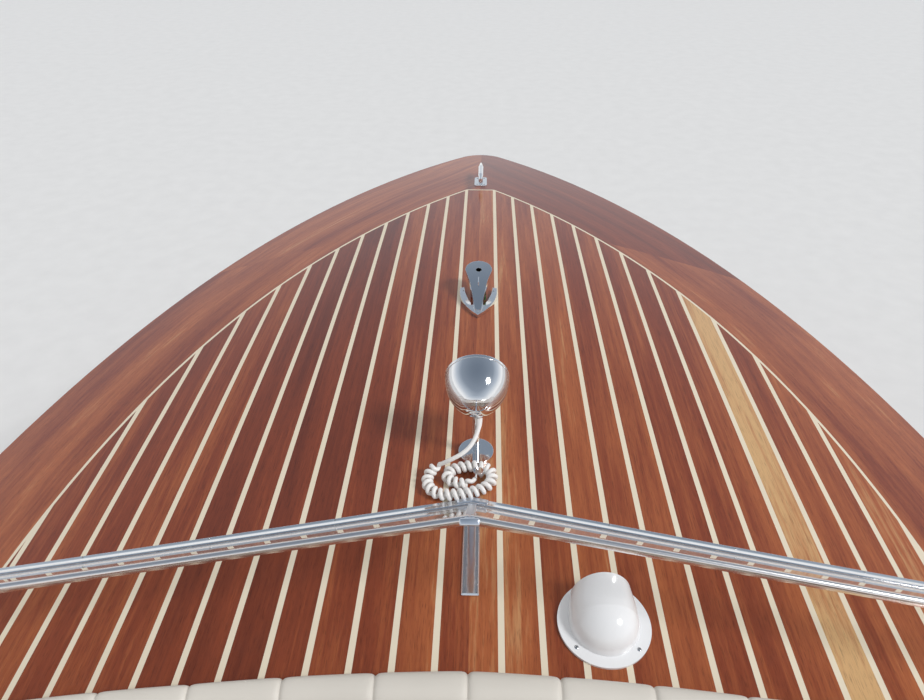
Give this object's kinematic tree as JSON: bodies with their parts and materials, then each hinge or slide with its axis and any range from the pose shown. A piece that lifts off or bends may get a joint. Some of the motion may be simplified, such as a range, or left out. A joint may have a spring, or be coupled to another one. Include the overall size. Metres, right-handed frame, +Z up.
{
  "type": "speedboat",
  "caption": "Open planked runabout with a raked V windshield, padded cockpit, two seat rows, an engine under a sun pad, and a shaft-driven propeller and rudder.",
  "frame": {"origin": "on the waterline, amidships, on the centreline", "axes": "+Y forward to the bow, +X to starboard, +Z up"},
  "size_m": [2.2658, 6.3101, 1.7826],
  "materials": {
    "hull_enamel": "gloss",
    "varnished_wood": "gloss",
    "sole_wood": "satin",
    "caulking": "matte",
    "polished_steel": "polished",
    "cream_vinyl": "satin",
    "engine_metal": "matte",
    "dial_plastic": "matte",
    "wheel_plastic": "gloss",
    "window_glass": "clear",
    "cord_rubber": "satin",
    "white_plastic": "gloss",
    "bronze": "satin",
    "shaft_steel": "brushed"
  },
  "bodies": {
    "boat": {"hull": "hull_enamel", "transom": "varnished_wood", "exhaust_outlets": "polished_steel", "keel": "hull_enamel", "rub_rails": "polished_steel", "covering_board_starboard": "varnished_wood", "covering_board_port": "varnished_wood", "deck_planks": "varnished_wood", "deck_seams": "caulking", "cockpit_sole": "sole_wood", "side_liners": "varnished_wood", "coaming_roll": "cream_vinyl", "front_seat_bases": "varnished_wood", "front_cushion_starboard": "cream_vinyl", "front_cushion_port": "cream_vinyl", "front_back_starboard": "cream_vinyl", "front_back_port": "cream_vinyl", "rear_seat_base": "varnished_wood", "rear_cushion": "cream_vinyl", "rear_back": "cream_vinyl", "engine_block": "engine_metal", "dashboard": "varnished_wood", "gauge_bezels": "polished_steel", "gauge_dials": "dial_plastic", "steering_column": "polished_steel", "throttle": "polished_steel", "pane_starboard": "window_glass", "pane_port": "window_glass", "windshield_base": "polished_steel", "windshield_rail": "polished_steel", "windshield_end_posts": "polished_steel", "windshield_post": "polished_steel", "deck_strap": "polished_steel", "stem_band": "polished_steel", "searchlight_head": "polished_steel", "searchlight_lens": "window_glass", "searchlight_base": "polished_steel", "searchlight_lead": "cord_rubber", "curly_cord": "cord_rubber", "cord_gland": "polished_steel", "cowl_vent": "white_plastic", "bow_light": "polished_steel", "bow_cleat": "polished_steel", "stern_cleats": "polished_steel", "shaft_strut": "bronze", "rudder_bearing": "bronze", "bow_light_lenses": "window_glass"},
    "wheel": {"steering_wheel": "wheel_plastic"},
    "screw": {"propeller": "bronze", "propeller_shaft": "shaft_steel"},
    "rudder_blade": {"rudder": "bronze"},
    "hatch": {"engine_hatch": "varnished_wood", "sun_pad": "cream_vinyl"}
  },
  "joints": [
    {"name": "steering_wheel_turn", "type": "hinge", "parent": "boat", "child": "wheel", "pos_m": [0.4, 0.53233, 0.73818], "axis": [0, 0.9063, -0.4226], "range_deg": [-540, 540]},
    {"name": "rudder_turn", "type": "hinge", "parent": "boat", "child": "rudder_blade", "pos_m": [0, -2.945, -0.322], "axis": [0, 0, 1], "range_deg": [-35, 35]},
    {"name": "propeller_spin", "type": "hinge", "parent": "boat", "child": "screw", "pos_m": [0, -2.68, -0.49], "axis": [0, 0.9848, 0.1736], "continuous": true},
    {"name": "engine_hatch_lift", "type": "hinge", "parent": "boat", "child": "hatch", "pos_m": [0, -2.697, 0.6904], "axis": [1, 0, 0], "range_deg": [0, 55]}
  ],
  "couplings": [
    {"joint": "rudder_turn", "follows": "steering_wheel_turn", "ratio": 0.064815}
  ]
}
